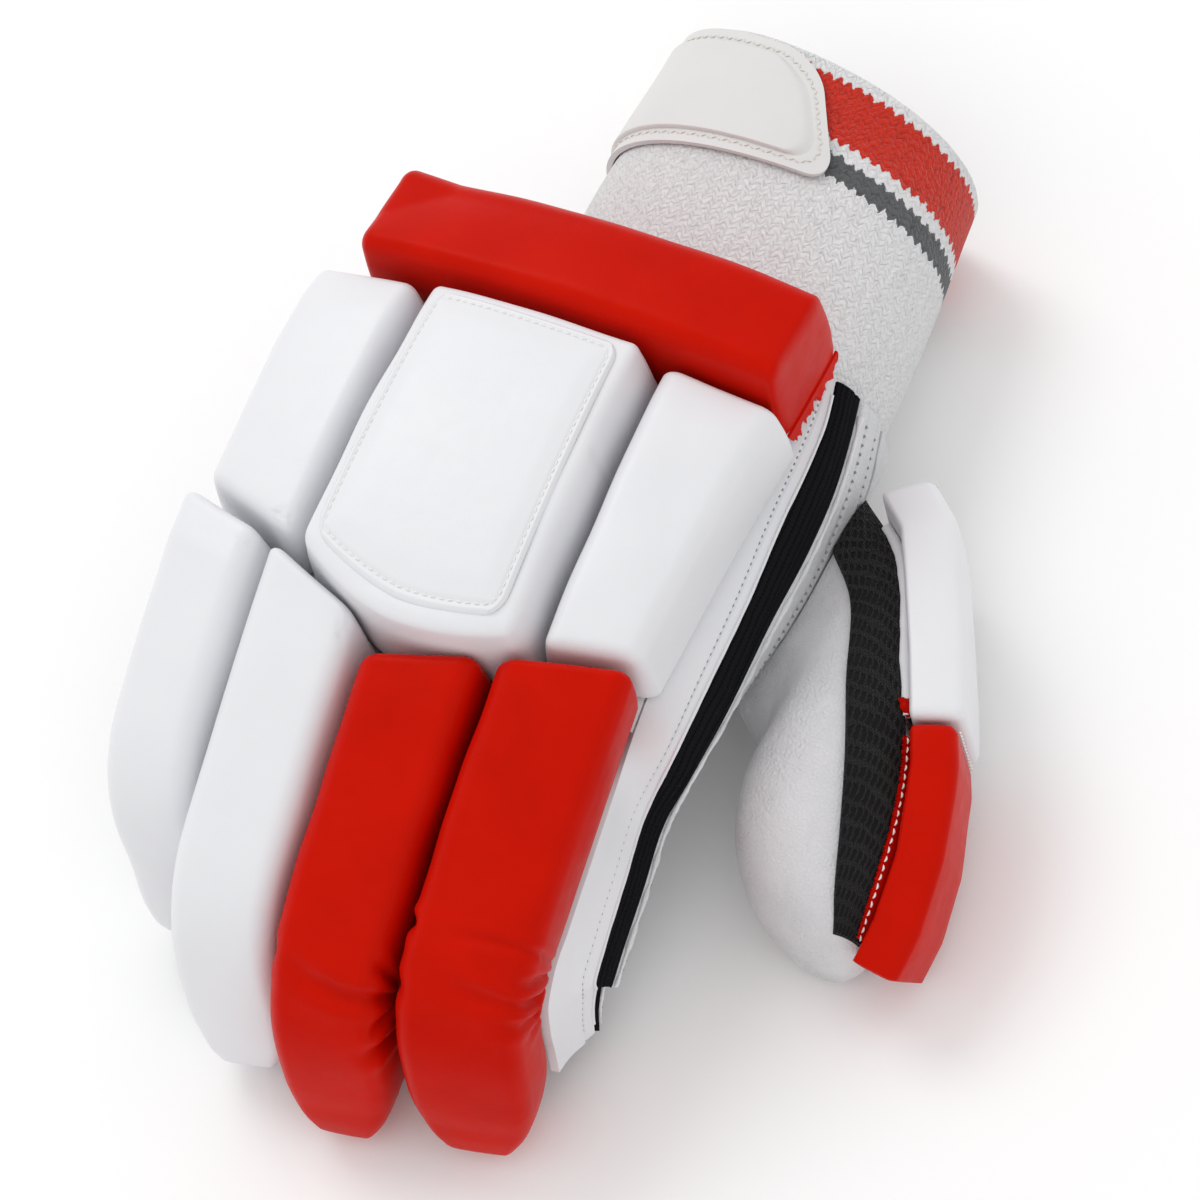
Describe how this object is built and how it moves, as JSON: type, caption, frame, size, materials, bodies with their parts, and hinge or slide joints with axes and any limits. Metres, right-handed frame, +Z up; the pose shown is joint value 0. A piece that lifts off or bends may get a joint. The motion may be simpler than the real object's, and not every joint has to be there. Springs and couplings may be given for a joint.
{
  "type": "batting glove",
  "caption": "Padded right-hand batting glove with foam rolls over the fingers, blocks over the hand, a wrist bar and a knitted cuff with a strap.",
  "frame": {"origin": "under the middle of the glove's bounds, on the surface it lies on", "axes": "+X across the hand towards the thumb, +Y along it towards the wrist, +Z up out of the back of the hand"},
  "size_m": [0.192, 0.2838, 0.1009],
  "materials": {
    "white_hide": "smooth coated, semi-matt",
    "red_hide": "smooth coated, semi-matt",
    "palm_leather": "fine grain, matt",
    "black_knit": "rib knit",
    "black_mesh": "open mesh",
    "white_knit": "coarse knit with coloured bands"
  },
  "bodies": {
    "root": {"hand_back": "white_hide", "outer_side": "white_hide", "palm": "palm_leather", "side_gusset": "white_hide", "side_knit": "black_knit", "side_binding": "palm_leather", "knuckle_block_outer": "white_hide", "knuckle_block_centre": "white_hide", "knuckle_block_inner": "white_hide", "badge_panel": "white_hide", "wrist_bar": "red_hide", "index_pad": "red_hide", "middle_pad": "red_hide", "ring_pad": "white_hide", "little_pad": "white_hide", "index_stall": "palm_leather", "middle_stall": "palm_leather", "ring_stall": "palm_leather", "little_stall": "palm_leather", "cuff": "white_knit", "wrist_strap": "white_hide", "thumb_stall": "palm_leather", "thumb_mesh": "black_mesh", "thumb_pad_upper": "white_hide", "thumb_pad_lower": "red_hide"}
  },
  "joints": []
}
